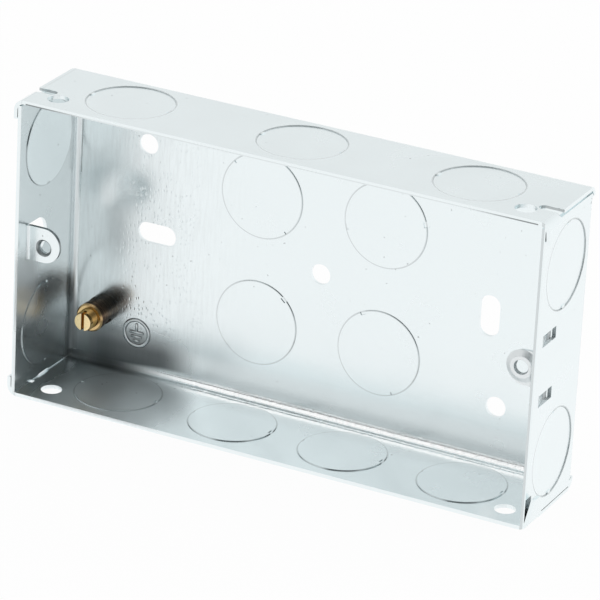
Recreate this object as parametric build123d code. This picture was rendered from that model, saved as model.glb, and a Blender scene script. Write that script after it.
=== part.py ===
from build123d import *
import os
from math import cos, pi, radians, sin

os.makedirs("parts", exist_ok=True)

# Folded steel back box for two wiring accessories side by side. Sizes are in millimetres.
# X runs along the box, Y through its depth from the open rim to the back, Z is up.
# The origin is the middle of the back's outer face.

# Folded sheet
sheet = 0.9
length = 131.0
height = 73.4
depth = 26.9
bend_inner = 1.6
bend_outer = bend_inner + sheet
seam_gap = {1: 0.5, -1: 0.2}
corner_relief = 0.15
open_seam_setback = 11.0
open_seam_length = 4.5
open_seam = 0.5
lip_setback = 0.2

# Ears: the front band of each long wall wraps the corner and laps the outside of the end wall
ear_band = 6.9
ear_inner = 1.6
ear_outer = ear_inner + sheet
ear_gap = 0.15
ear_tip_width = 3.0
ear_tip_round = 1.2
ear_reach = {(-1, 1): 4.7, (-1, -1): 4.5, (1, 1): 4.9, (1, -1): 8.0}
ear_flare = {(-1, 1): 1.0, (-1, -1): 1.0, (1, 1): 5.0, (1, -1): 12.0}
notch_width = 2.6
notch_reach = 5.3
slit_width = 1.3
slit_reach = 1.6

# Knockouts: half-sheared discs standing a little into the box
knockout_radius = 10.3
knockout_step = 0.2
bridge_width = 1.4
bridge_depth = 0.7
back_bridge_angle = {(-1, -1): 47, (1, -1): 116, (-1, 1): 133, (1, 1): 14}
knockout_setback = 13.0
back_knockout = 15.75
top_knockout_inset = 21.9
bottom_knockout_inset = 21.2
bottom_knockout_middle = 14.2
end_knockout_inset = 14.2

# Fixing holes
fixing_radius = 2.5
fixing_end_inset = 19.9
fixing_side_inset = 14.95
slot_length = 10.0
slot_end_inset = 22.9
corner_hole_inset = 7.3
top_hole_setback = 5.4
bottom_hole_setback = 6.1

# Lugs for the accessory's screws, whose holes come 120.6 apart
lug_inset = 5.2
lug_setback = 4.2
lug_thread_radius = 1.75
lug_half = 4.2
fixed_lug_rise = 0.6
lug_bend_inner = 0.8
lug_bend_outer = lug_bend_inner + sheet
lug_collar_radius = 2.7
lug_collar = 0.9
lug_entry = 0.35
lance_gap = 0.1

# Windows and pressed tabs in the right end wall
window_setback = 3.0
window_length = 7.0
window_height = 2.8
window_z = 7.2
window_rise = 0.5
tab_ramp = 2.9
tab_ramp_drop = 0.8
tab_slope = 4.2
tab_short = 0.3
tab_round = 0.5

# Adjustable lug
slide_clear = 0.05
plate_half = 9.6
plate_rear_setback = 9.4
plate_ease = 0.4
flange_root_half = 4.3
flange_end_half = 4.1
flange_end_offset = 0.4
flange_drop = 0.3
boss_rise = 0.8
boss_base_radius = 3.9
boss_top_radius = 2.6
boss_round = 0.4
dish_radius = 2.6

# Earth terminal
terminal_end_inset = 9.6
pillar_radius = 3.5
pillar_length = 7.2
pillar_chamfer = 0.4
spigot_radius = 2.0
spigot_recess = 0.1
screw_radius = 2.4
screw_fit = 0.05
screw_stand = 3.0
screw_length = 4.9
screw_chamfer = 0.3
driver_slot_width = 0.9
driver_slot_depth = 1.3
bore_floor = 1.4
wire_radius = 1.8
wire_setback = 3.4
wire_angle = 45.0

# Planes of the finished box
rim = -depth
half_length = length / 2
half_height = height / 2
inner_x = half_length - sheet
inner_z = half_height - sheet
back_inner = -sheet
lug_front = rim + lug_setback
lug_x = half_length - lug_inset
wall_middle = rim + knockout_setback
bend_start = -bend_outer
fixing_x = half_length - fixing_end_inset
fixing_z = half_height - fixing_side_inset
slot_x = half_length - slot_end_inset
terminal_x = terminal_end_inset - half_length
terminal_z = -fixing_z


def slab(x_range, y_range, z_range):
    """A block between two values on each axis."""
    size = [b - a for a, b in (x_range, y_range, z_range)]
    middle = [(a + b) / 2 for a, b in (x_range, y_range, z_range)]
    return Pos(*middle) * Box(*size)


def both_ways(low, high, sign):
    """The range low to high, or its mirror image on the negative side."""
    return (low, high) if sign > 0 else (-high, -low)


def channel_profile(width):
    """Section of a folded channel: depth along local X, width along local Y."""
    outer = Rectangle(depth, width, align=(Align.MAX, Align.CENTER))
    outer = fillet(outer.vertices().group_by(Axis.X)[-1], bend_outer)
    hollow = Pos(-sheet, 0) * Rectangle(depth, width - 2 * sheet, align=(Align.MAX, Align.CENTER))
    hollow = fillet(hollow.vertices().group_by(Axis.X)[-1], bend_inner)
    return outer - hollow


# Back with its four bends. The long bends run on as lips beside the shorter end bends.
flat_half_x = half_length - bend_outer
end_bend_half = half_height - bend_outer - corner_relief
end_plane = Plane(origin=(0, 0, 0), x_dir=(0, 1, 0), z_dir=(0, 0, 1))
long_channel = extrude(Plane.YZ * channel_profile(height), amount=half_length - lip_setback, both=True)
end_channel = extrude(end_plane * channel_profile(length), amount=end_bend_half, both=True)
corner_tools = []
for sx in (-1, 1):
    lip_x = both_ways(flat_half_x, half_length, sx)
    corner_tools.append(slab(lip_x, (bend_start, 0), (bend_outer - half_height, half_height - bend_outer)))
    corner_tools.append(slab(lip_x, (rim, bend_start), (-half_height, half_height)))
box = long_channel - corner_tools + end_channel

# Ends of the walls. Each end wall stops a seam short of the long walls, and its corners follow their bends.
notch_rear = rim + ear_band + notch_width
ear_x = half_length + ear_gap - ear_inner
wall_tools = []
for sx in (-1, 1):
    wall_x = both_ways(inner_x, half_length, sx)
    wall_z = (seam_gap[-1] - inner_z, inner_z - seam_gap[1])
    wall_tools.append(slab(wall_x, (rim, bend_start), wall_z))
    for sz in (-1, 1):
        corner_z = sz * (half_height - bend_outer)
        corner = Cylinder(bend_inner - seam_gap[sz], 2 * sheet)
        corner = Pos(sx * half_length, bend_start, corner_z) * Rot(0, 90, 0) * corner
        corner_span = both_ways(half_height - bend_outer, half_height, sz)
        wall_tools.append(corner & slab(wall_x, (bend_start, 0), corner_span))
        wall_z = both_ways(inner_z, half_height, sz)
        wall_tools.append(slab(both_ways(flat_half_x, half_length, sx), (rim + ear_band, bend_start), wall_z))
        wall_tools.append(slab(both_ways(flat_half_x, ear_x, sx), (rim, rim + ear_band), wall_z))
box = box + wall_tools


def ear(sx, sz):
    """Corner ear: the long wall's front band bent round the corner, with a tapered tip."""
    flare = radians(ear_flare[(sx, sz)])
    centre_z = inner_z - ear_inner
    tip_z = half_height - ear_reach[(sx, sz)]
    straight = (centre_z + ear_outer * sin(flare) - tip_z) / cos(flare)
    down = (straight * sin(flare), -straight * cos(flare))
    ends = [(ear_x + r * cos(flare), centre_z + r * sin(flare)) for r in (ear_inner, ear_outer)]
    tips = [(x + down[0], z + down[1]) for x, z in ends]
    turn = ear_flare[(sx, sz)] - 90
    edges = [
        Line((ear_x, inner_z), (ear_x, half_height)),
        CenterArc((ear_x, centre_z), ear_outer, 90, turn),
        Line(ends[1], tips[1]),
        Line(tips[1], tips[0]),
        Line(tips[0], ends[0]),
        CenterArc((ear_x, centre_z), ear_inner, 90, turn),
    ]
    section_plane = Plane(origin=(0, rim + ear_band, 0), x_dir=(1, 0, 0), z_dir=(0, -1, 0))
    strip = extrude(section_plane * make_face(edges), amount=ear_band)
    outline = Polyline(
        (rim, half_height + sheet),
        (rim + ear_band, half_height + sheet),
        (rim + ear_band, centre_z),
        (rim + ear_tip_width, tip_z),
        (rim, tip_z),
        close=True,
    )
    side = make_face(outline.edges())
    side = fillet(side.vertices().group_by(Axis.Y)[0].sort_by(Axis.X)[-1], ear_tip_round)
    shape = strip & extrude(Plane.YZ * side, amount=2 * half_length)
    if sx < 0:
        shape = mirror(shape, about=Plane.YZ)
    if sz < 0:
        shape = mirror(shape, about=Plane.XY)
    return shape


box = box + [ear(sx, sz) for sx, sz in ear_flare]

# A round-ended notch frees each upper ear from its wall, and a short slit frees each lower one.
seam_middle = {sz: inner_z - seam_gap[sz] / 2 for sz in seam_gap}
beyond = half_length + ear_outer
notch_round = notch_width / 2
notch_root = half_length - notch_reach + notch_round
slit_y = (rim + ear_band, rim + ear_band + slit_width)
free_tools = []
for sx in (-1, 1):
    notch_x = both_ways(notch_root, beyond, sx)
    free_tools.append(slab(notch_x, (rim + ear_band, notch_rear), (seam_middle[1], half_height + sheet)))
    notch_end = Pos(sx * notch_root, rim + ear_band + notch_round, half_height)
    free_tools.append(notch_end * Cylinder(notch_round, 2 * (half_height - seam_middle[1])))
    slit_x = both_ways(half_length - slit_reach, beyond, sx)
    free_tools.append(slab(slit_x, slit_y, (-half_height - sheet, -seam_middle[-1])))
# The lower left seam stands open along a short part of its length.
open_y = (rim + open_seam_setback, rim + open_seam_setback + open_seam_length)
free_tools.append(slab((-half_length, -inner_x), open_y, (-inner_z, open_seam - inner_z)))
box = box - free_tools

# Planes lying on the outer faces, with their normals pointing out of the box
top_end = half_length - top_knockout_inset
bottom_end = half_length - bottom_knockout_inset
end_knockout = half_height - end_knockout_inset
places = []
for (sx, sz), angle in back_bridge_angle.items():
    across = (cos(radians(angle)), 0, sin(radians(angle)))
    places.append(Plane(origin=(sx * back_knockout, 0, sz * back_knockout), x_dir=across, z_dir=(0, 1, 0)))
places += [Plane(origin=(x, wall_middle, half_height), x_dir=(1, 0, 0), z_dir=(0, 0, 1))
           for x in (-top_end, 0, top_end)]
places += [Plane(origin=(x, wall_middle, -half_height), x_dir=(1, 0, 0), z_dir=(0, 0, -1))
           for x in (-bottom_end, -bottom_knockout_middle, bottom_knockout_middle, bottom_end)]
places += [Plane(origin=(sx * half_length, wall_middle, z), x_dir=(0, 0, 1), z_dir=(sx, 0, 0))
           for sx in (-1, 1) for z in (-end_knockout, end_knockout)]

# Knockouts: the disc is half sheared inwards, and two small bridges hold it
disc = Circle(knockout_radius)
for side in (-1, 1):
    disc -= Pos(side * knockout_radius, 0) * Rectangle(2 * bridge_depth, bridge_width)
box = box - [extrude(place * disc, amount=-knockout_step) for place in places]
box = box + [extrude(place.offset(-sheet) * disc, amount=-knockout_step) for place in places]

# Fixing holes through the back and the long walls
back_plane = Plane(origin=(0, 0, 0), x_dir=(1, 0, 0), z_dir=(0, -1, 0))
back_holes = [Pos(x, z) * Circle(fixing_radius)
              for x, z in ((-fixing_x, fixing_z), (fixing_x, -fixing_z), (0, 0))]
back_holes.append(Pos(-slot_x, 0) * SlotOverall(slot_length, 2 * fixing_radius))
back_holes.append(Pos(slot_x, 0) * Rot(0, 0, 90) * SlotOverall(slot_length, 2 * fixing_radius))
back_holes.append(Pos(terminal_x, terminal_z) * Circle(spigot_radius))
box = box - [extrude(back_plane * hole, amount=2 * sheet, both=True) for hole in back_holes]
corner_drill = Cylinder(fixing_radius, 2 * sheet)
corner_hole_x = half_length - corner_hole_inset
for sz, setback in ((1, top_hole_setback), (-1, bottom_hole_setback)):
    wall_level = sz * (half_height - sheet / 2)
    box = box - [Pos(sx * corner_hole_x, rim + setback, wall_level) * corner_drill for sx in (-1, 1)]

# Fixed lug, lanced out of the left end wall and folded in
fold_x = lug_bend_inner - inner_x
fold_y = lug_front - lug_bend_inner
lug_reach = lug_half - lug_x - fold_x
lance_length = lug_reach + (lug_bend_inner + sheet / 2) * pi / 2
lance_half = lug_half + lance_gap
lance_round_y = fold_y + lance_length - lug_half
wall_span = (-half_length - sheet, -inner_x + lug_bend_inner)
lance_end = Pos(-half_length, lance_round_y, fixed_lug_rise) * Rot(0, 90, 0) * Cylinder(lance_half, 4 * sheet)
lance = Pos(0, 0, fixed_lug_rise) * slab(wall_span, (fold_y, lance_round_y), (-lance_half, lance_half))
box = box - [lance, lance_end]
fold = Circle(lug_bend_outer) - Circle(lug_bend_inner)
fold = fold & Rectangle(lug_bend_outer, lug_bend_outer, align=(Align.MAX, Align.MIN))
fixed_lug = extrude(Pos(fold_x, fold_y) * fold, amount=lug_half, both=True)
along_y = Rot(-90, 0, 0)
from_front = (Align.CENTER, Align.CENTER, Align.MIN)
lug_axis = Pos(-lug_x, lug_front, 0) * along_y
fixed_lug += slab((fold_x, -lug_x), (lug_front, lug_front + sheet), (-lug_half, lug_half))
fixed_lug += lug_axis * Cylinder(lug_half, sheet, align=from_front)
fixed_lug = Pos(0, 0, fixed_lug_rise) * fixed_lug
fixed_lug += lug_axis * Cylinder(lug_collar_radius, sheet + lug_collar, align=from_front)
fixed_lug -= lug_axis * Cylinder(lug_thread_radius, sheet + lug_collar, align=from_front)
fixed_lug -= lug_axis * Cone(lug_thread_radius + lug_entry, lug_thread_radius, lug_entry, align=from_front)
box = box + fixed_lug

# Two windows in the right end wall, each with its tab pressed in behind the lug's plate
plate_outer_x = inner_x - slide_clear
plate_inner_x = plate_outer_x - sheet
tab_x = plate_inner_x - slide_clear
window_front = rim + window_setback
window_rear = window_front + window_length
tab_end = window_rear - tab_short
tab_bends = [(half_length, window_front),
             (half_length - tab_ramp_drop, window_front + tab_ramp),
             (tab_x, window_front + tab_slope),
             (tab_x, tab_end)]
tab_outline = Polyline(*tab_bends, *[(x - sheet, y) for x, y in reversed(tab_bends)], close=True)
tab_section = make_face(tab_outline.edges())
bent = tab_section.vertices().filter_by_position(Axis.Y, window_front + tab_ramp, window_front + tab_slope)
tab_section = fillet(bent, tab_round)
tab_half = window_height / 2 - lance_gap
for sz in (-1, 1):
    window_middle = window_rise + sz * window_z
    window = (window_middle - window_height / 2, window_middle + window_height / 2)
    box = box - slab((inner_x - sheet, half_length + sheet), (window_front, window_rear), window)
    box = box + Pos(0, 0, window_middle) * extrude(tab_section, amount=tab_half, both=True)
back_box = box

# Adjustable lug: a plate sliding behind the tabs, with a flange folded in and its hole pressed forward
flange_front = lug_front + boss_rise
flange_fold_x = plate_outer_x - lug_bend_outer
flange_fold_y = flange_front + lug_bend_outer
flange_end_x = lug_x + flange_end_offset
plate_rear = rim + plate_rear_setback
plate_front = window_front + tab_slope + plate_ease
flange_z = (-flange_drop - flange_root_half, flange_root_half - flange_drop)
adjustable_lug = slab((plate_inner_x, plate_outer_x), (plate_front, plate_rear), (-plate_half, plate_half))
adjustable_lug += slab((plate_inner_x, plate_outer_x), (flange_fold_y, plate_rear), flange_z)
fold = Circle(lug_bend_outer) - Circle(lug_bend_inner)
fold = fold & Rectangle(lug_bend_outer, lug_bend_outer, align=(Align.MIN, Align.MAX))
flange_fold = extrude(Pos(flange_fold_x, flange_fold_y) * fold, amount=flange_root_half, both=True)
adjustable_lug += Pos(0, 0, -flange_drop) * flange_fold
flange_plane = Plane(origin=(0, flange_front + sheet, -flange_drop), x_dir=(1, 0, 0), z_dir=(0, -1, 0))
flange = make_face(Polyline(
    (flange_fold_x, flange_root_half),
    (flange_end_x, flange_end_half),
    (flange_end_x, -flange_end_half),
    (flange_fold_x, -flange_root_half),
    close=True,
).edges())
half_disc = Circle(flange_end_half) & Rectangle(length, height, align=(Align.MAX, Align.CENTER))
flange += Pos(flange_end_x, 0) * half_disc
adjustable_lug += extrude(flange_plane * flange, amount=sheet)
boss_axis = Pos(lug_x, flange_front, 0) * Rot(90, 0, 0)
boss = Cone(boss_base_radius, boss_top_radius, boss_rise, align=from_front)
boss = fillet(boss.edges().group_by(Axis.Z)[-1], boss_round)
adjustable_lug += boss_axis * boss
dish_axis = Pos(lug_x, flange_front + sheet, 0) * Rot(90, 0, 0)
dish = Cone(dish_radius, lug_thread_radius, boss_rise, align=from_front)
thread = Cylinder(lug_thread_radius, 2 * (sheet + boss_rise), align=from_front)
adjustable_lug -= [dish_axis * dish, dish_axis * thread]

# Earth terminal: a turned pillar riveted through the back, with a slotted screw in its front
terminal = Pos(terminal_x, back_inner, terminal_z) * Rot(90, 0, 0)
pillar = Cylinder(pillar_radius, pillar_length, align=from_front)
pillar = chamfer(pillar.edges().group_by(Axis.Z)[-1], pillar_chamfer)
spigot_length = sheet - spigot_recess
pillar += Pos(0, 0, -spigot_length) * Cylinder(spigot_radius, spigot_length, align=from_front)
bore_depth = pillar_length - bore_floor
pillar -= Pos(0, 0, bore_floor) * Cylinder(screw_radius + screw_fit, bore_depth, align=from_front)
wire_drill = Rot(0, 0, -wire_angle) * Rot(0, 90, 0) * Cylinder(wire_radius, 4 * pillar_radius)
pillar -= Pos(0, 0, wire_setback) * wire_drill
earth_terminal_pillar = terminal * pillar

screw_base = pillar_length + screw_stand - screw_length
screw = Cylinder(screw_radius, screw_length, align=from_front)
screw = chamfer(screw.edges().filter_by(GeomType.CIRCLE), screw_chamfer)
slot_middle = screw_length - driver_slot_depth / 2
screw -= Pos(0, 0, slot_middle) * Box(driver_slot_width, 3 * screw_radius, driver_slot_depth)
earth_terminal_screw = terminal * Pos(0, 0, screw_base) * screw

export_step(back_box, "parts/back_box.step")
export_step(adjustable_lug, "parts/adjustable_lug.step")
export_step(earth_terminal_pillar, "parts/earth_terminal_pillar.step")
export_step(earth_terminal_screw, "parts/earth_terminal_screw.step")
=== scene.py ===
# %% [markdown]
# A folded steel back box, dressed for its portrait
#
# The metal work comes from the CAD frame: the folded box, the lug that slides on its right wall, and the
# brass earth terminal. This lesson lights it, gives each metal its finish, and adds the small things
# that are too fine for the solids: the stamped earth sign and the threads.

# %% Load the frame
import math

import bmesh
import bpy
from mathutils import Matrix, Vector


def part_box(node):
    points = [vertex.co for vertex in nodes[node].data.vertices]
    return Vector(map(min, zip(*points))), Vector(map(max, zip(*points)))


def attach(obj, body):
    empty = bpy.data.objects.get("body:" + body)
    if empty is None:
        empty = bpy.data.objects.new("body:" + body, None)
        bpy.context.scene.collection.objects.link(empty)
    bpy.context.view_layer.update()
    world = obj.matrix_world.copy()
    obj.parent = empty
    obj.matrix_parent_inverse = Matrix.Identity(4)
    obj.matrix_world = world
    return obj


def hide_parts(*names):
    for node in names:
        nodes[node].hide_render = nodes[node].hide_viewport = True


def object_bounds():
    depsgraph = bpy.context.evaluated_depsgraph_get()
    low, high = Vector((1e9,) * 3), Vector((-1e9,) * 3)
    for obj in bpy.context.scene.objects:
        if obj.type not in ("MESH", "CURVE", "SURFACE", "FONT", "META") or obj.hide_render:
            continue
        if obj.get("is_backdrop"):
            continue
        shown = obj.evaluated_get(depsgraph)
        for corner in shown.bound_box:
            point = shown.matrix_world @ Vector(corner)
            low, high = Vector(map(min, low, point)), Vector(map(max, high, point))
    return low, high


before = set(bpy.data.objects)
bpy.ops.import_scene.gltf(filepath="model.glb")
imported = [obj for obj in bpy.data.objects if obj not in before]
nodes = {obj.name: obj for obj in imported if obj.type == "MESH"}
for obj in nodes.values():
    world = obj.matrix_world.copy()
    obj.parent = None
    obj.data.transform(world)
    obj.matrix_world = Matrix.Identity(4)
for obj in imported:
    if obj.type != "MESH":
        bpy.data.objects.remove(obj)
cad_low, cad_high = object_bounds()
MM = 0.001
print("CAD box in mm:", [round(v / MM, 2) for v in (*cad_low, *cad_high)])

# %% [markdown]
# Camera
#
# The picture was taken from in front, a little to the right and above, with a long lens. Its place was
# found by lining up the box's corners, so the numbers are a position, three angles and a focal length.
# The camera's own axes are worked out from the angles, which is plainer than a set of Euler turns.

# %% Camera
scene = bpy.context.scene
eye = Vector((407.719, -847.475, 398.332)) * MM
azimuth, elevation, roll = (math.radians(a) for a in (25.982, 23.313, 3.006))
focal_length, sensor_width = 268.53, 36.0
toward_eye = Vector((math.sin(azimuth) * math.cos(elevation),
                     -math.cos(azimuth) * math.cos(elevation),
                     math.sin(elevation)))
across = (-toward_eye).cross(Vector((0, 0, 1))).normalized()
upward = across.cross(-toward_eye)
right = math.cos(roll) * across + math.sin(roll) * upward
above = math.cos(roll) * upward - math.sin(roll) * across
turned = Matrix((right, above, toward_eye)).transposed().to_4x4()
camera = bpy.data.objects.new("portrait_camera", bpy.data.cameras.new("portrait_camera"))
scene.collection.objects.link(camera)
camera.matrix_world = Matrix.Translation(eye) @ turned
camera.data.sensor_width = sensor_width
camera.data.lens = focal_length
camera.data.clip_start, camera.data.clip_end = 0.01, 20.0
scene.camera = camera
scene.view_settings.view_transform = "Standard"
print("camera looks from", [round(v, 3) for v in eye])

# %% [markdown]
# Room
#
# Bright sheet metal shows the room more than itself. The room here is white, with three quieter parts:
# the dark place where the camera stands, which the inner corner of a box throws straight back to the
# lens, a low dark band along the front of the room, and a soft grey high behind the box, which its top
# reflects. Lamps and panels could give these too, but a world shader needs nothing but the direction.

# %% Room directions


def node(tree, kind, **values):
    """A new shader node, with attributes and input values set by name."""
    made = tree.nodes.new(kind)
    for key, value in values.items():
        if key in made.inputs:
            made.inputs[key].default_value = value
        else:
            setattr(made, key, value)
    return made


def feed(tree, socket, value):
    """Gives an input socket another node's output, or a plain value."""
    if isinstance(value, bpy.types.NodeSocket):
        tree.links.new(value, socket)
    else:
        socket.default_value = value


def split(tree, vector):
    """The three numbers of a vector."""
    made = node(tree, "ShaderNodeSeparateXYZ")
    feed(tree, made.inputs["Vector"], vector)
    return [made.outputs[axis] for axis in "XYZ"]


room = bpy.data.worlds.new("white_studio")
scene.world = room
room.use_nodes = True
tree = room.node_tree
tree.nodes.clear()
direction = node(tree, "ShaderNodeTexCoord").outputs["Generated"]
_, forward, height = split(tree, direction)
print("room:", room.name)

# %% [markdown]
# Each quiet part is a mask from 0 to 1, made by small sums on the direction. A smooth step on its height,
# or on its angle to an axis, leaves a soft edge, as the walls of a studio do.

# %% Quiet parts of the room


def formula(tree, operation, *values):
    """A Math node fed by sockets or plain numbers; hands back its result."""
    made = node(tree, "ShaderNodeMath", operation=operation)
    for socket, value in zip(made.inputs, values):
        feed(tree, socket, value)
    return made.outputs["Value"]


def times(tree, first, *others):
    """The product of sockets or plain numbers."""
    for other in others:
        first = formula(tree, "MULTIPLY", first, other)
    return first


def most(tree, first, *others):
    """The greatest of sockets or plain numbers."""
    for other in others:
        first = formula(tree, "MAXIMUM", first, other)
    return first


def ease(tree, value, low, high, start=0.0, end=1.0):
    """Goes smoothly from start to end while value goes from low to high."""
    made = node(tree, "ShaderNodeMapRange", interpolation_type="SMOOTHSTEP")
    labels = ("Value", "From Min", "From Max", "To Min", "To Max")
    for label, number in zip(labels, (value, low, high, start, end)):
        feed(tree, made.inputs[label], number)
    return made.outputs["Result"]


def near(tree, direction, axis, outer, inner):
    """1 within the inner angle of an axis, 0 beyond the outer one."""
    made = node(tree, "ShaderNodeVectorMath", operation="DOT_PRODUCT")
    feed(tree, made.inputs[0], direction)
    feed(tree, made.inputs[1], axis)
    low, high = (math.cos(math.radians(angle)) for angle in (outer, inner))
    return ease(tree, made.outputs["Value"], low, high)


band_share = 0.85
behind_above = Vector((-toward_eye.x, -toward_eye.y, toward_eye.z))
low_front = times(tree, ease(tree, height, 0.30, 0.10), ease(tree, forward, -0.3, -0.7), band_share)
dark = most(tree, near(tree, direction, toward_eye, outer=48, inner=26), low_front)
grey = near(tree, direction, behind_above, outer=55, inner=10)
print("quiet parts use", len(tree.nodes), "nodes")

# %% [markdown]
# The walls take their colour from the masks. The lens itself sees a plain white page instead, which the
# light path tells, so the picture's background stays clean.

# %% Walls and backdrop


def blend(tree, factor, first, second):
    """A colour that goes from first to second; either may be a socket or three numbers."""
    made = node(tree, "ShaderNodeMix", data_type="RGBA")
    for label, value in (("A", first), ("B", second)):
        feed(tree, made.inputs[label], (*value, 1) if isinstance(value, tuple) else value)
    feed(tree, made.inputs["Factor"], factor)
    return made.outputs["Result"]


def either(tree, factor, first, second):
    """The first shader where factor is 0, the second where it is 1."""
    made = node(tree, "ShaderNodeMixShader")
    for socket, value in zip(made.inputs, (factor, first, second)):
        feed(tree, socket, value)
    return made.outputs["Shader"]


white_wall, grey_wall, dark_wall = (1.0, 1.0, 1.0), (0.83, 0.84, 0.84), (0.10, 0.115, 0.12)
studio = node(tree, "ShaderNodeBackground")
pale_walls = blend(tree, grey, white_wall, grey_wall)
feed(tree, studio.inputs["Color"], blend(tree, dark, pale_walls, dark_wall))
page = node(tree, "ShaderNodeBackground", Color=(1, 1, 1, 1))
seen = node(tree, "ShaderNodeLightPath").outputs["Is Camera Ray"]
surface = either(tree, seen, studio.outputs["Background"], page.outputs["Background"])
feed(tree, node(tree, "ShaderNodeOutputWorld").inputs["Surface"], surface)
print("room has", len(tree.nodes), "nodes")

# %% [markdown]
# Floor
#
# The box stands on a sheet of white paper, a single wide square just under its lower wall. A grid with
# one segment is the plainest way to make it, and it is marked as stage, because it is no part of the box.

# %% Floor
floor_half, floor_gap = 3.0, 0.02 * MM
floor_mesh = bpy.data.meshes.new("floor")
bm = bmesh.new()
bmesh.ops.create_grid(bm, x_segments=1, y_segments=1, size=floor_half)
bmesh.ops.translate(bm, vec=(0, 0, cad_low.z - floor_gap), verts=bm.verts)
bm.to_mesh(floor_mesh)
bm.free()
floor = bpy.data.objects.new("floor", floor_mesh)
scene.collection.objects.link(floor)
floor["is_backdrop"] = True
print("floor at", round(cad_low.z / MM, 2), "mm")

# %% [markdown]
# Paper is matt and takes a soft shadow. Most of its white here comes from a glow that only the lens and
# the metal's reflections see, so the page stays white in both. A small share of the matt paper stays in
# the mix, and with it a faint shadow.

# %% Paper
glow_share = 0.96
paper = bpy.data.materials.new("white_paper")
paper.use_nodes = True
tree = paper.node_tree
tree.nodes.clear()
plain = node(tree, "ShaderNodeBsdfDiffuse", Color=(0.93, 0.93, 0.93, 1))
glow = node(tree, "ShaderNodeEmission", Strength=1.0)
path = node(tree, "ShaderNodeLightPath")
rays = ("Is Camera Ray", "Is Glossy Ray", "Is Transmission Ray")
seen = most(tree, *(path.outputs[ray] for ray in rays))
surface = either(tree, times(tree, seen, glow_share), plain.outputs["BSDF"], glow.outputs["Emission"])
feed(tree, node(tree, "ShaderNodeOutputMaterial").inputs["Surface"], surface)
floor_mesh.materials.append(paper)
print("paper glows by", glow_share)

# %% [markdown]
# Knockout lines
#
# Each knockout is a disc that a punch has half sheared, so a thin grey line is left all the way round it.
# The step itself is in the solids. Here the bruised zinc along the line is a mask: the distance from the
# nearest knockout's centre, compared with its radius. The sizes come first, all in millimetres.

# %% Sizes of the sheet and its knockouts
rim, top = cad_low.y / MM, cad_high.z / MM
sheet, end_wall = 0.9, 65.5
skin = 1.5 * sheet
knockout_radius, wall_row = 10.3, rim + 13.0
back_step, end_step = 15.75, 22.5
top_outer, bottom_inner, bottom_outer = 43.6, 14.2, 44.3
print("rim at", round(rim, 2), "mm and top at", round(top, 2), "mm")

# %% [markdown]
# The wall that a point lies on is told from its place alone. On each wall the nearest knockout's centre is
# known, so the first number to find is how far the point lies from it along the wall.

# %% Which wall, and how far along it


def place_in_mm(tree):
    """Where the shaded point lies on the object, in millimetres."""
    made = node(tree, "ShaderNodeVectorMath", operation="SCALE", Scale=1 / MM)
    feed(tree, made.inputs[0], node(tree, "ShaderNodeTexCoord").outputs["Object"])
    return made.outputs["Vector"]


def new_group(name, inputs, outputs):
    """A shader node group with float sockets; hands back its tree and its two end nodes."""
    group = bpy.data.node_groups.new(name, "ShaderNodeTree")
    for label in inputs:
        group.interface.new_socket(label, in_out="INPUT", socket_type="NodeSocketFloat")
    for label in outputs:
        group.interface.new_socket(label, in_out="OUTPUT", socket_type="NodeSocketFloat")
    return group, group.nodes.new("NodeGroupInput"), group.nodes.new("NodeGroupOutput")


lines, _, lines_end = new_group("knockout_lines", [], ["Line"])
x, y, z = split(lines, place_in_mm(lines))
along = formula(lines, "ABSOLUTE", x)
rise = formula(lines, "ABSOLUTE", z)
far_top = formula(lines, "GREATER_THAN", along, top_outer / 2)
far_bottom = formula(lines, "GREATER_THAN", along, (bottom_inner + bottom_outer) / 2)
top_centre = times(lines, far_top, top_outer)
bottom_centre = formula(lines, "MULTIPLY_ADD", far_bottom, bottom_outer - bottom_inner, bottom_inner)
on_back = formula(lines, "GREATER_THAN", y, -skin)
on_end = formula(lines, "GREATER_THAN", along, end_wall - skin)
on_top = formula(lines, "GREATER_THAN", z, top - skin)
on_bottom = formula(lines, "LESS_THAN", z, skin - top)
sideways = 0.0
for here, distance, centre in ((on_back, along, back_step), (on_end, rise, end_step),
                               (on_top, along, top_centre), (on_bottom, along, bottom_centre)):
    offset = formula(lines, "SUBTRACT", distance, centre)
    sideways = formula(lines, "MULTIPLY_ADD", here, offset, sideways)
print("knockout lines use", len(lines.nodes), "nodes so far")

# %% [markdown]
# The second number is the distance across the wall: from the row that the walls share, or on the back from
# the knockouts' own height. The two give the distance from the centre, and the line lies at the radius.

# %% The line at the radius


def squares(tree, first, second):
    """The sum of two squares."""
    return formula(tree, "MULTIPLY_ADD", first, first, times(tree, second, second))


line_edge, line_middle = 0.28, 0.08
from_row = formula(lines, "SUBTRACT", y, wall_row)
change = formula(lines, "SUBTRACT", formula(lines, "SUBTRACT", rise, back_step), from_row)
upways = formula(lines, "MULTIPLY_ADD", on_back, change, from_row)
from_centre = formula(lines, "SQRT", squares(lines, upways, sideways))
reach = formula(lines, "ABSOLUTE", formula(lines, "SUBTRACT", from_centre, knockout_radius))
on_wall = most(lines, on_back, on_end, on_top, on_bottom)
feed(lines, lines_end.inputs["Line"], times(lines, ease(lines, reach, line_edge, line_middle), on_wall))
print("knockout lines at radius", knockout_radius, "mm")

# %% [markdown]
# Rolled sheet
#
# Cold rolling leaves fine streaks that all run the same way. The sheet was flat when it was rolled, so on
# the long walls, which were folded forward, the streaks run on through the depth. The group that makes
# the marks serves the box, the lug and the earth sign, and first it finds the way the sheet runs.

# %% The way the sheet was rolled


def joined(tree, *values):
    """A vector from numbers or sockets."""
    made = node(tree, "ShaderNodeCombineXYZ")
    for socket, value in zip(made.inputs, values):
        feed(tree, socket, value)
    return made.outputs["Vector"]


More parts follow.
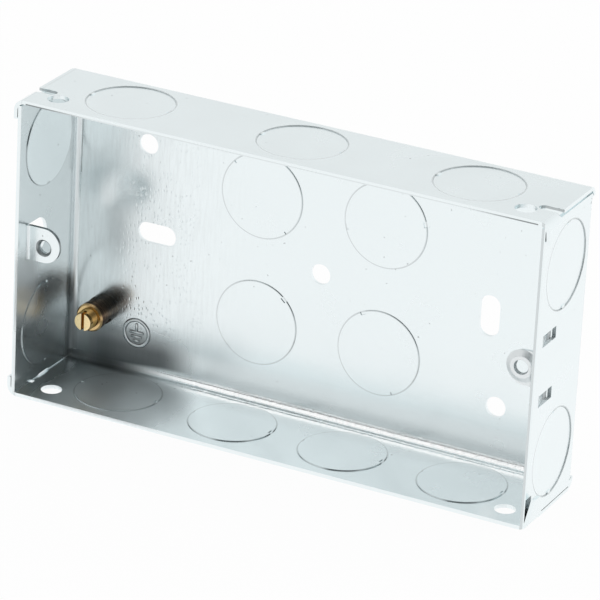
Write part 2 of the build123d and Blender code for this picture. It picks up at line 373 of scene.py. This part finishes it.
rolled, rolled_in, rolled_end = new_group(
    "rolled_sheet", ["Rubbed", "Dimpled"], ["Tone", "Roughness", "Height"])
x, y, z = split(rolled, place_in_mm(rolled))
normal = node(rolled, "ShaderNodeTexCoord").outputs["Normal"]
facing = [formula(rolled, "ABSOLUTE", part) for part in split(rolled, normal)]
long_wall = formula(rolled, "GREATER_THAN", facing[2], 0.7)
upright = formula(rolled, "SUBTRACT", 1.0, long_wall)
crossing = formula(rolled, "MULTIPLY_ADD", upright, y, x)
running = formula(rolled, "MULTIPLY_ADD", long_wall, formula(rolled, "SUBTRACT", y, z), z)
flat = joined(rolled, crossing, running, 0.0)
print("rolled sheet starts with", len(rolled.nodes), "nodes")

# %% [markdown]
# Noise pulled long in the running direction gives the streaks. Plain noise gives the cloudy patches that
# handling leaves, and its rare peaks the specks. Dimples are spots of a Voronoi pattern, kept only in
# clusters, because a few grains under the rollers strike the sheet again and again in one place.

# %% Streaks, clouds, specks and dimples


def noise(tree, vector, scale, detail=3.0, rough=0.55):
    """Noise from 0 to 1 on a vector in millimetres."""
    made = node(tree, "ShaderNodeTexNoise", Scale=scale, Detail=detail, Roughness=rough)
    feed(tree, made.inputs["Vector"], vector)
    return made.outputs["Fac"]


streak_pull, dimple_pull = 0.1, 0.7
pulled = joined(rolled, crossing, times(rolled, running, streak_pull), 0.0)
streak = noise(rolled, pulled, scale=1.4, detail=4.0, rough=0.6)
cloud = noise(rolled, flat, scale=0.06, detail=4.0)
speck = ease(rolled, noise(rolled, flat, scale=0.8, detail=2.0, rough=0.4), 0.73, 0.78)
spots = node(rolled, "ShaderNodeTexVoronoi", voronoi_dimensions="2D", Scale=0.95)
feed(rolled, spots.inputs["Vector"], joined(rolled, crossing, times(rolled, running, dimple_pull), 0.0))
kept = formula(rolled, "GREATER_THAN", split(rolled, spots.outputs["Color"])[0], 0.4)
dimple = ease(rolled, spots.outputs["Distance"], 0.28, 0.10)
cluster = ease(rolled, noise(rolled, flat, scale=0.13), 0.36, 0.54)
struck = times(rolled, dimple, kept, cluster, rolled_in.outputs["Dimpled"])
print("rolled sheet has", len(rolled.nodes), "nodes so far")

# %% [markdown]
# The marks leave the group as three values. Streaks and specks lower the tone, clouds and bends change the
# roughness, and streaks and dimples shape the height.

# %% Tone, roughness and height
streak_tone, speck_tone, bend_rough = -0.05, -0.35, 0.12
streak_height, dimple_height = 0.2, -1.5
bend = ease(rolled, most(rolled, *facing), 0.995, 0.9)
streaked = times(rolled, ease(rolled, streak, 0.6, 0.35), rolled_in.outputs["Rubbed"])
tone = formula(rolled, "MULTIPLY_ADD", streaked, streak_tone, 1.0)
tone = formula(rolled, "MULTIPLY_ADD", speck, speck_tone, tone)
tone = times(rolled, tone, ease(rolled, cloud, 0.3, 0.7, start=0.97, end=1.0))
clouded = ease(rolled, cloud, 0.3, 0.7, start=0.20, end=0.28)
rough = formula(rolled, "MULTIPLY_ADD", bend, bend_rough, clouded)
height = formula(rolled, "MULTIPLY_ADD", struck, dimple_height, times(rolled, streak, streak_height))
for label, value in (("Tone", tone), ("Roughness", rough), ("Height", height)):
    feed(rolled, rolled_end.inputs[label], value)
print("rolled sheet group has", len(rolled.nodes), "nodes")

# %% [markdown]
# Galvanised box
#
# Bright zinc is a soft mirror with a cold tint. One material dresses the whole box, because it is one
# folded sheet, and masks in millimetres say where each mark lies. The left part of the back is the most
# marked, as if another sheet had rubbed there. A mask is a product of spans, one for each axis it needs.

# %% Galvanised sheet


def new_metal(name, roughness=0.2, metallic=1.0):
    """A material with a Principled metal and its output."""
    material = bpy.data.materials.new(name)
    material.use_nodes = True
    tree = material.node_tree
    tree.nodes.clear()
    metal = node(tree, "ShaderNodeBsdfPrincipled", Metallic=metallic, Roughness=roughness)
    feed(tree, node(tree, "ShaderNodeOutputMaterial").inputs["Surface"], metal.outputs["BSDF"])
    return material, tree, metal


def use_group(tree, group, **values):
    """Places a node group in a material with its own values."""
    made = node(tree, "ShaderNodeGroup", node_tree=group)
    for label, value in values.items():
        feed(tree, made.inputs[label], value)
    return made


def within(tree, *spans):
    """1 where every value lies inside its span, given as value, low, high."""
    return times(tree, *(formula(tree, "COMPARE", value, (low + high) / 2, (high - low) / 2)
                         for value, low, high in spans))


zinc, tree, metal = new_metal("bright_galvanised_sheet")
place = place_in_mm(tree)
x, y, z = split(tree, place)
on_back = within(tree, (y, -skin, -sheet / 2))
print("box finish:", zinc.name)

# %% [markdown]
# The two groups are placed in the material now. Rubbing fades in towards the left end of the back, and the
# dimples lie in a band beside the terminal that stops short of the lower bend.

# %% Rolling marks and shear lines
least_rubbed = 0.04
left_back = times(tree, ease(tree, x, -12.0, -42.0), on_back)
rubbed = formula(tree, "MULTIPLY_ADD", left_back, 1.0 - least_rubbed, least_rubbed)
band = times(tree, ease(tree, x, -24.0, -34.0), ease(tree, x, -55.0, -46.0, start=0.15, end=1.0))
dimpled = times(tree, band, on_back, ease(tree, z, -31.0, -24.0))
sheet_marks = use_group(tree, rolled, Rubbed=rubbed, Dimpled=dimpled)
shear_line = use_group(tree, lines).outputs["Line"]
print("box finish starts with", len(tree.nodes), "nodes")

# %% [markdown]
# Bare steel and painted shade
#
# Where the shears went through the zinc, bare steel shows as a darker line along the edges of the fixed
# lug. The rim is darker along the lower part of its cut face, more so towards the ends, and on the right
# wall. The notches, the gaps behind the ears, the rear of the windows, a thin line on the back beside the
# left bend, and the lower left bends are painted darker as painted shade. A row is a strength, a fade and
# some spans, so that one more dark place takes one more row.

# %% Bare steel and painted shade
lug_front, lug_rise = rim + 4.2, 0.6
window_front, window_long, window_rise = rim + 3.0, 7.0, 0.5
ear_tip, notch_front, notch_long = 3.0, rim + 6.9, 2.6
along = formula(tree, "ABSOLUTE", x)
from_windows = formula(tree, "ABSOLUTE", formula(tree, "SUBTRACT", z, window_rise))
from_outside = formula(tree, "SUBTRACT", top, z)
on_rim = formula(tree, "LESS_THAN", y, rim + 0.04)
to_the_ends = times(tree, on_rim, ease(tree, along, 45.0, 61.0, start=0.12, end=0.7))
behind_ear = (along, 65.45, 66.03), (y, rim + 0.05, rim + ear_tip)
beside_window, in_bend = (from_windows, 5.6, 8.65), (y, -2.6, -0.8)
lug_edge = (y, lug_front + 0.05, lug_front + 0.86)
notch_edge = (y, notch_front - 0.1, notch_front + notch_long + 0.1)
window_edge = (y, window_front + 5.2, window_front + window_long + 0.1)
bare_and_shaded_rows = [
    (0.55, 1.0, [(x, -64.4, -55.5), lug_edge, (z, lug_rise - 4.5, lug_rise + 4.5)]),
    # painted shade: the notches, the gaps behind the ears and the rear of the windows
    (0.45, 1.0, [(along, 60.35, 65.7), notch_edge, (z, 36.0, 36.62)]),
    (0.85, 1.0, [*behind_ear, (z, 32.3, 34.6)]),
    (0.75, 1.0, [*behind_ear, (z, -36.0, -29.3)]),
    (0.40, 1.0, [(x, 60.0, 65.45), window_edge, beside_window]),
    # painted shade: a thin dark line on the back beside the left bend
    (0.40, 1.0, [(x, -63.25, -62.95), (y, -skin, -sheet / 2), (z, 11.0, 33.0)]),
    (0.25, on_rim, [(x, 64.5, 65.2)]),
    (1.00, to_the_ends, [(from_outside, 0.6, 0.95), (along, 0.0, 63.6)]),
    # painted shade: the lower left bends
    (0.50, ease(tree, z, -17.0, -25.0), [(x, -64.7, -62.9), in_bend]),
    (0.60, ease(tree, x, -42.0, -54.0), [in_bend, (z, -35.9, -34.0)]),
]
bare_and_painted_shade = most(tree, *(times(tree, within(tree, *spans), fade, strength) for strength, fade, spans in bare_and_shaded_rows))
print("bare steel in", len(bare_and_shaded_rows), "rows of places")

# %% [markdown]
# Dull zinc and painted shade
#
# The knockout lines are a little dull. The lower left corner is painted darker as painted shade, and the
# shade reaches further along the back than along the lower wall. A faint painted shade also runs along the
# back just above its lower bend.

# %% Dull zinc and painted shade
line_dull, corner_shade = 0.25, 0.83
from_bottom = formula(tree, "ADD", z, top - sheet)
inside = within(tree, (x, -65.0, 65.0), (y, rim, -sheet / 2), (z, -36.2, 36.2))
low = ease(tree, z, -32.8, -34.6)
corner_end = formula(tree, "MULTIPLY_ADD", low, -10.0, -28.0)
corner_full = formula(tree, "MULTIPLY_ADD", low, -13.0, -41.0)
corner_fade = ease(tree, x, -64.5, -55.0, start=0.5, end=1.0)
# painted shade: the lower left corner is darkened in colour
corner = times(tree, ease(tree, x, corner_end, corner_full), corner_fade)
corner = times(tree, corner, ease(tree, from_bottom, 14.0, 5.0), ease(tree, y, -5.0, -2.4), inside)
# painted shade: a darker band along the back just above its lower bend
shade_above_bend = times(tree, ease(tree, z, -25.0, -29.0), 0.08)
shade_above_bend = formula(tree, "MULTIPLY_ADD", ease(tree, z, -30.5, -33.0), 0.11, shade_above_bend)
shade_above_bend = times(tree, shade_above_bend, on_back, ease(tree, z, -34.2, -33.9), ease(tree, x, -34.0, -24.0))
dull_and_painted_shade = most(tree, bare_and_painted_shade, times(tree, shear_line, line_dull), times(tree, corner, corner_shade), shade_above_bend)
print("dull zinc brings the finish to", len(tree.nodes), "nodes")

# %% [markdown]
# Hazy and matt zinc
#
# Hands and damp have left the left end greyer: a hazy patch on the left wall near the rim, and a worn left
# end of the lower wall. The zinc is also torn along the outer knockout lines and on the pressed tabs. All
# of these scatter light, so they take away some of the mirror, and a lower Metallic is the plainest way.

# %% Hazy and matt zinc
patch_matt, worn_matt, torn_matt = 0.7, 0.2, 0.7
handled_wall = within(tree, (x, -64.7, -64.5))
handled = times(tree, ease(tree, x, -34.0, -56.0), most(tree, on_back, handled_wall))
patch = times(tree, ease(tree, z, 2.0, -5.0), ease(tree, z, -24.0, -15.0), ease(tree, y, -15.0, -21.0))
lower_patch = ease(tree, z, -12.0, -20.0, start=0.0, end=0.12)
patch = most(tree, times(tree, patch, patch_matt), lower_patch)
patch = times(tree, patch, within(tree, (x, -65.2, -64.3)))
lower_wall = within(tree, (z, -36.3, -35.4), (y, rim, -2.0))
worn = times(tree, ease(tree, x, -24.0, -36.0), ease(tree, x, -63.0, -53.0), lower_wall)
hazy = most(tree, patch, times(tree, worn, worn_matt))
outer = most(tree, formula(tree, "GREATER_THAN", x, 64.9), formula(tree, "GREATER_THAN", z, 36.2))
tab_depth = (y, window_front + 0.05, window_front + window_long)
tabs = within(tree, (x, 63.0, 65.4), tab_depth, beside_window)
matt = most(tree, hazy, times(tree, shear_line, outer, torn_matt), times(tree, tabs, torn_matt))
feed(tree, metal.inputs["Metallic"], formula(tree, "SUBTRACT", 1.0, matt))
print("box finish has", len(tree.nodes), "nodes so far")

# %% [markdown]
# Painted highlight on the bend
#
# The inside of the lower bend is painted whiter and made smoother, a painted highlight, so it shines as a
# white strip, a little ragged along its edges. Above it the back swells slightly. The swell is wide and
# low, and a bump shows it as well as a changed mesh would.

# %% Painted highlight on the bend


def bumps(tree, height, depth_mm, under=None):
    """Raises and sinks the shading by a height, where 1 is depth_mm; may lie on another bump."""
    made = node(tree, "ShaderNodeBump", Strength=1.0, Distance=depth_mm * MM)
    feed(tree, made.inputs["Height"], height)
    if under:
        feed(tree, made.inputs["Normal"], under)
    return made.outputs["Normal"]


swell_wide, swell = 9.0, 0.7
ragged_deep, rolled_deep = 0.05, 0.02
ragged = noise(tree, place, scale=0.9)
strip = times(tree, ease(tree, z, -33.7, -34.1), ease(tree, y, -6.0, -2.4), inside)
ragged_share = ease(tree, ragged, 0.35, 0.6, start=0.7, end=1.0)
# painted highlight: the strip on the lower bend gets a whiter colour
painted_highlight_strip = times(tree, strip, ease(tree, x, -42.0, -27.0), ragged_share)
swollen = bumps(tree, times(tree, ease(tree, from_bottom, swell_wide, 0.0), on_back), swell)
uneven = bumps(tree, times(tree, ragged, painted_highlight_strip), ragged_deep, swollen)
feed(tree, metal.inputs["Normal"], bumps(tree, sheet_marks.outputs["Height"], rolled_deep, uneven))
print("back swells by", swell, "mm over", swell_wide, "mm")

# %% [markdown]
# All marks together
#
# Every mark lowers the tone by its own share, and the tone picks a colour between dark and light zinc.
# Bare steel, the painted shade, and worn and dull places are rougher, and the painted highlight strip is
# whiter and smoother.

# %% All marks together
zinc_dark, zinc_light, highlight_zinc = (0.055, 0.064, 0.067), (0.91, 0.972, 0.985), (0.98, 0.99, 0.99)
smoothest, corner_rough = 0.08, 0.15
marked = sheet_marks.outputs["Tone"]
for mark, share in ((handled, -0.13), (hazy, -0.2)):
    marked = formula(tree, "MULTIPLY_ADD", mark, share, marked)
tone = times(tree, marked, formula(tree, "SUBTRACT", 1.0, dull_and_painted_shade))
sheet_colour = blend(tree, tone, zinc_dark, zinc_light)
# the painted highlight strip takes the whiter zinc colour
feed(tree, metal.inputs["Base Color"], blend(tree, painted_highlight_strip, sheet_colour, highlight_zinc))
rough = sheet_marks.outputs["Roughness"]
for mark, share in ((bare_and_painted_shade, 0.2), (worn, 0.2), (painted_highlight_strip, -0.26)):
    rough = formula(tree, "MULTIPLY_ADD", mark, share, rough)
rough = most(tree, rough, smoothest)
feed(tree, metal.inputs["Roughness"], formula(tree, "MULTIPLY_ADD", corner, corner_rough, rough))
nodes["back_box"].data.materials[0] = zinc
print("box finish has", len(tree.nodes), "nodes")

# %% [markdown]
# Plated lug
#
# The sliding lug is a separate pressing, plated after it was stamped, so it is hardly rubbed and a little
# more matt than the box. The same group is used with lower values. The tapped hole and the side that slides
# on the wall are painted darker, as painted shade.

# %% Plated lug
lug_hole_x, thread_radius = 60.3, 1.75
lug_shade_tone, plating_deep = -0.25, 0.01
plate_light = (0.91, 0.95, 0.96)
plating, tree, metal = new_metal("zinc_plated_lug", metallic=0.8)
lug_marks = use_group(tree, rolled, Rubbed=0.05, Dimpled=0.0)
x, _, z = split(tree, place_in_mm(tree))
from_axis = squares(tree, formula(tree, "SUBTRACT", x, lug_hole_x), z)
in_hole = ease(tree, from_axis, (thread_radius + 0.12) ** 2, (thread_radius + 0.02) ** 2)
# painted shade: darker colour in the tapped hole and on the side seen through the windows
painted_lug_shade = most(tree, in_hole, formula(tree, "GREATER_THAN", x, 64.3))
tone = formula(tree, "MULTIPLY_ADD", painted_lug_shade, lug_shade_tone, lug_marks.outputs["Tone"])
feed(tree, metal.inputs["Base Color"], blend(tree, tone, zinc_dark, plate_light))
fold = ease(tree, x, 62.0, 63.0, start=0.1, end=0.5)
feed(tree, metal.inputs["Roughness"], formula(tree, "ADD", lug_marks.outputs["Roughness"], fold))
feed(tree, metal.inputs["Normal"], bumps(tree, lug_marks.outputs["Height"], plating_deep))
nodes["adjustable_lug"].data.materials[0] = plating
print("lug finish:", plating.name)

# %% [markdown]
# Turned brass
#
# The terminal was turned on a lathe, so its marks are rings about its own axis. Its front keeps the bright
# brass colour, and its sides are painted dark brown, darker further back, as painted shade. The screw is
# newer and brighter. One function makes both, with the front end, three colours and a roughness to tell
# them apart.

# %% Turned brass
terminal_low, terminal_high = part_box("earth_terminal_pillar")
terminal_axis = (terminal_low + terminal_high) / 2 / MM


def turned_brass(name, front, bright, near_side_shade, far_side_shade, roughness):
    """Brass with turning rings about the terminal's axis, bright at its front, with painted shade in brown
    on the sides.
    """
    material, tree, metal = new_metal(name, roughness)
    place = place_in_mm(tree)
    x, y, z = split(tree, place)
    off_x = formula(tree, "SUBTRACT", x, terminal_axis.x)
    off_z = formula(tree, "SUBTRACT", z, terminal_axis.z)
    radius = formula(tree, "SQRT", squares(tree, off_x, off_z))
    rings = noise(tree, joined(tree, radius, y, 0.0), scale=7.0, detail=2.0)
    forward = split(tree, node(tree, "ShaderNodeTexCoord").outputs["Normal"])[1]
    behind = formula(tree, "SUBTRACT", y, front)
    side = most(tree, ease(tree, forward, -0.9, -0.5), ease(tree, behind, 0.7, 1.2))
    bloom = ease(tree, noise(tree, place, scale=0.6, detail=4.0), 0.3, 0.7, start=0.92, end=1.0)
    # painted shade: faces turned sideways are painted brown to near black
    side_shade = blend(tree, ease(tree, behind, 0.5, 5.0), near_side_shade, far_side_shade)
    feed(tree, metal.inputs["Base Color"], blend(tree, times(tree, side, bloom), bright, side_shade))
    uneven = ease(tree, rings, 0.2, 0.8, start=roughness - 0.04, end=roughness + 0.06)
    feed(tree, metal.inputs["Roughness"], uneven)
    feed(tree, metal.inputs["Normal"], bumps(tree, rings, depth_mm=0.004))
    return material


screw_low, screw_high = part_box("earth_terminal_screw")
brass = turned_brass("turned_brass", front=terminal_low.y / MM, bright=(0.86, 0.60, 0.29),
                     near_side_shade=(0.17, 0.10, 0.065), far_side_shade=(0.07, 0.064, 0.06), roughness=0.24)
bright_brass = turned_brass("bright_brass_screw", front=screw_low.y / MM, bright=(0.93, 0.74, 0.42),
                            near_side_shade=(0.46, 0.28, 0.09), far_side_shade=(0.36, 0.21, 0.07), roughness=0.2)
nodes["earth_terminal_pillar"].data.materials[0] = brass
nodes["earth_terminal_screw"].data.materials[0] = bright_brass
print("terminal axis in mm:", [round(v, 2) for v in terminal_axis])

# %% [markdown]
# Earth sign
#
# The plain earth sign is stamped into the back beside the terminal, a ring with one upright and three level
# bars. The stamp leaves low rounded ridges. They are painted dark at the foot, as painted shade, and light
# on the crown, as a painted highlight. A mask on the height above the back tells the two apart.

# %% Zinc under the stamp
ridge_half, ridge_height = 0.5, 0.24
foot_height, crown_height = 0.10, 0.22
shade_foot_zinc, highlight_crown_zinc = (0.28, 0.30, 0.31), (0.64, 0.68, 0.69)
stamped, tree, metal = new_metal("stamped_zinc")
sign_marks = use_group(tree, rolled, Rubbed=0.5, Dimpled=0.0)
depth = split(tree, place_in_mm(tree))[1]
# painted shade at the foot of the ridges, painted highlight on their crown
crown_highlight = ease(tree, depth, -sheet - foot_height, -sheet - crown_height)
ridge_shade_and_highlight = blend(tree, crown_highlight, shade_foot_zinc, highlight_crown_zinc)
feed(tree, metal.inputs["Base Color"], blend(tree, sign_marks.outputs["Tone"], zinc_dark, ridge_shade_and_highlight))
feed(tree, metal.inputs["Roughness"], sign_marks.outputs["Roughness"])
feed(tree, metal.inputs["Normal"], bumps(tree, sign_marks.outputs["Height"], rolled_deep))
print("sign finish:", stamped.name)

# %% [markdown]
# A flattened circle spun about the sign's centre makes the ring. It will be sunk to its middle in the back,
# so that only the crown stands out.

# %% Ring of the sign
sign_radius = 3.25 * MM
bm = bmesh.new()
section = bmesh.ops.create_circle(bm, segments=12, radius=ridge_half * MM)["verts"]
bmesh.ops.scale(bm, vec=(1, ridge_height / ridge_half, 1), verts=section)
bmesh.ops.translate(bm, vec=(sign_radius, 0, 0), verts=section)
bmesh.ops.spin(bm, geom=bm.edges[:], cent=(0, 0, 0), axis=(0, 1, 0), angle=math.tau, steps=48,
               use_merge=True)
print("ring of the sign:", len(bm.faces), "faces")

# %% [markdown]
# A bar is a flattened ball whose two halves are moved apart, which leaves round ends. A row gives its
# height in the sign and half of its two sizes. The sign is then put in its place on the back, and the
# helper that makes it an object will serve the threads and the screw too.

# %% Bars of the sign


def new_piece(name, bm, material, body):
    """Makes an object from a bmesh, with its finish and the body it rides on."""
    bmesh.ops.remove_doubles(bm, verts=bm.verts, dist=0.0005 * MM)
    bmesh.ops.recalc_face_normals(bm, faces=bm.faces)
    for face in bm.faces:
        face.smooth = True
    mesh = bpy.data.meshes.new(name)
    bm.to_mesh(mesh)
    bm.free()
    mesh.materials.append(material)
    piece = bpy.data.objects.new(name, mesh)
    scene.collection.objects.link(piece)
    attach(piece, body)
    return piece


sign_middle = Vector((-47.0, -sheet, -26.05)) * MM
bars = [(1.35, 0.42, 1.2), (0.15, 2.0, 0.4), (-0.95, 1.5, 0.38), (-2.0, 0.95, 0.38)]
for up, half_wide, half_high in bars:
    end = min(half_wide, half_high)
    ball = bmesh.ops.create_uvsphere(bm, u_segments=12, v_segments=8, radius=end * MM)["verts"]
    bmesh.ops.scale(bm, vec=(1, ridge_height / end, 1), verts=ball)
    apart = Vector((half_wide - end, 0, half_high - end)) * MM
    for way in (-1, 1):
        half = [vert for vert in ball if way * vert.co.dot(apart.normalized()) > 0.01 * MM]
        bmesh.ops.translate(bm, vec=way * apart, verts=half)
    bmesh.ops.translate(bm, vec=(0, 0, up * MM), verts=ball)
bmesh.ops.translate(bm, vec=sign_middle, verts=bm.verts)
sign = new_piece("earth_sign", bm, stamped, "box")
print("earth sign:", len(sign.data.polygons), "faces")

# %% [markdown]
# Threads
#
# A thread is a ridge with a three-cornered section that climbs a screw's core, or lines a tapped hole.
# Spin makes it when each of its steps also moves the section a little along the axis. The two lug holes
# get a short ridge each.

# %% Threads in the lug holes


def thread_ridge(bm, root, crest, pitch, turns, start):
    """A helical ridge about the Y axis, from a root radius to a crest radius, starting at a depth."""
    corners = [bm.verts.new((radius, start + shift, 0))
               for radius, shift in ((root, 0), (crest, pitch / 2), (root, pitch))]
    section = [bm.edges.new(pair) for pair in zip(corners, corners[1:])]
    steps = 28
    bmesh.ops.spin(bm, geom=corners + section, cent=(0, 0, 0), axis=(0, 1, 0), angle=turns * math.tau,
                   steps=round(steps * turns), dvec=(0, pitch / steps, 0))


hole_root, hole_crest = (thread_radius + 0.02) * MM, (thread_radius - 0.25) * MM
hole_pitch, hole_start = 0.5 * MM, (lug_front + 0.36) * MM
for name, side, turns, body, finish, slot in (
        ("fixed_lug_thread", -1, 1.6, "box", zinc, "galvanised_steel"),
        ("sliding_lug_thread", 1, 0.6, "lug", plating, "plated_steel")):
    bm = bmesh.new()
    thread_ridge(bm, hole_root, hole_crest, hole_pitch, turns, hole_start)
    bmesh.ops.translate(bm, vec=(side * lug_hole_x * MM, 0, 0), verts=bm.verts)
    ridge = new_piece(name, bm, finish, body)
    print(name + ":", len(ridge.data.polygons), "faces")

# %% [markdown]
# Terminal screw
#
# The screw has no head, only a thread with a slot sawn across its front. The ridge is wound first, with the
# screw's front at zero. Two cuts then part the faces along the sides of the slot, and the ones that lie
# between the cuts are taken away where the saw went through.

# %% Thread of the terminal screw
screw_axis = (screw_low + screw_high) / 2
crest = (screw_high.x - screw_low.x) / 2
root, screw_long = crest - 0.3 * MM, screw_high.y - screw_low.y
slot_half, slot_deep, pitch = 0.4 * MM, 1.3 * MM, 0.8 * MM
hair = 0.001 * MM
bm = bmesh.new()
thread_ridge(bm, root - 0.02 * MM, crest, pitch, (screw_long - 2 * pitch) / pitch, 0.5 * pitch)
for side in (-1, 1):
    bmesh.ops.bisect_plane(bm, geom=bm.verts[:] + bm.edges[:] + bm.faces[:], dist=hair,
                           plane_co=(side * slot_half, 0, 0), plane_no=(1, 0, 0))
middles = {face: face.calc_center_median() for face in bm.faces}
sawn = [face for face, middle in middles.items() if abs(middle.x) < slot_half and middle.y < slot_deep]
bmesh.ops.delete(bm, geom=sawn, context="FACES")
print("screw thread:", len(bm.faces), "faces, with", len(middles) - len(bm.faces), "sawn away")

# %% [markdown]
# Two half discs stand either side of the slot. Each one starts as a whole disc, loses what lies past the
# side of the slot, and is drawn back to the slot's depth.

# %% Slotted front
turn = Matrix.Rotation(math.radians(-90), 4, "X")
for side in (-1, 1):
    disc = bmesh.ops.create_circle(bm, cap_ends=True, segments=48, radius=root, matrix=turn)["verts"]
    faces = {face for vert in disc for face in vert.link_faces}
    edges = {edge for vert in disc for edge in vert.link_edges}
    cut = bmesh.ops.bisect_plane(bm, geom=disc + list(edges) + list(faces), dist=hair, clear_inner=True,
                                 plane_co=(side * slot_half, 0, 0), plane_no=(side, 0, 0))
    face = [part for part in cut["geom"] if isinstance(part, bmesh.types.BMFace)]
    grown = bmesh.ops.extrude_face_region(bm, geom=face, use_keep_orig=True)["geom"]
    far = [part for part in grown if isinstance(part, bmesh.types.BMVert)]
    bmesh.ops.translate(bm, vec=(0, slot_deep, 0), verts=far)
print("slot is", round(2 * slot_half / MM, 2), "mm wide and", round(slot_deep / MM, 2), "mm deep")

# %% [markdown]
# A plain core fills the thread behind the slot. The finished screw replaces its plain node, and its edges
# stay sharp where they turn by more than 40 degrees.

# %% Terminal screw
core_long = screw_long - slot_deep
core_place = Matrix.Translation((0, slot_deep + core_long / 2, 0)) @ turn
bmesh.ops.create_cone(bm, cap_ends=True, segments=48, radius1=root, radius2=root, depth=core_long,
                      matrix=core_place)
bmesh.ops.translate(bm, vec=(screw_axis.x, screw_low.y, screw_axis.z), verts=bm.verts)
screw = new_piece("slotted_terminal_screw", bm, bright_brass, "terminal_screw")
screw.data.set_sharp_from_angle(angle=math.radians(40))
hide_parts("earth_terminal_screw")
print("terminal screw:", len(screw.data.polygons), "faces")

low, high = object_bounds()
print("visual box in mm:", [round(v / MM, 2) for v in (*low, *high)])
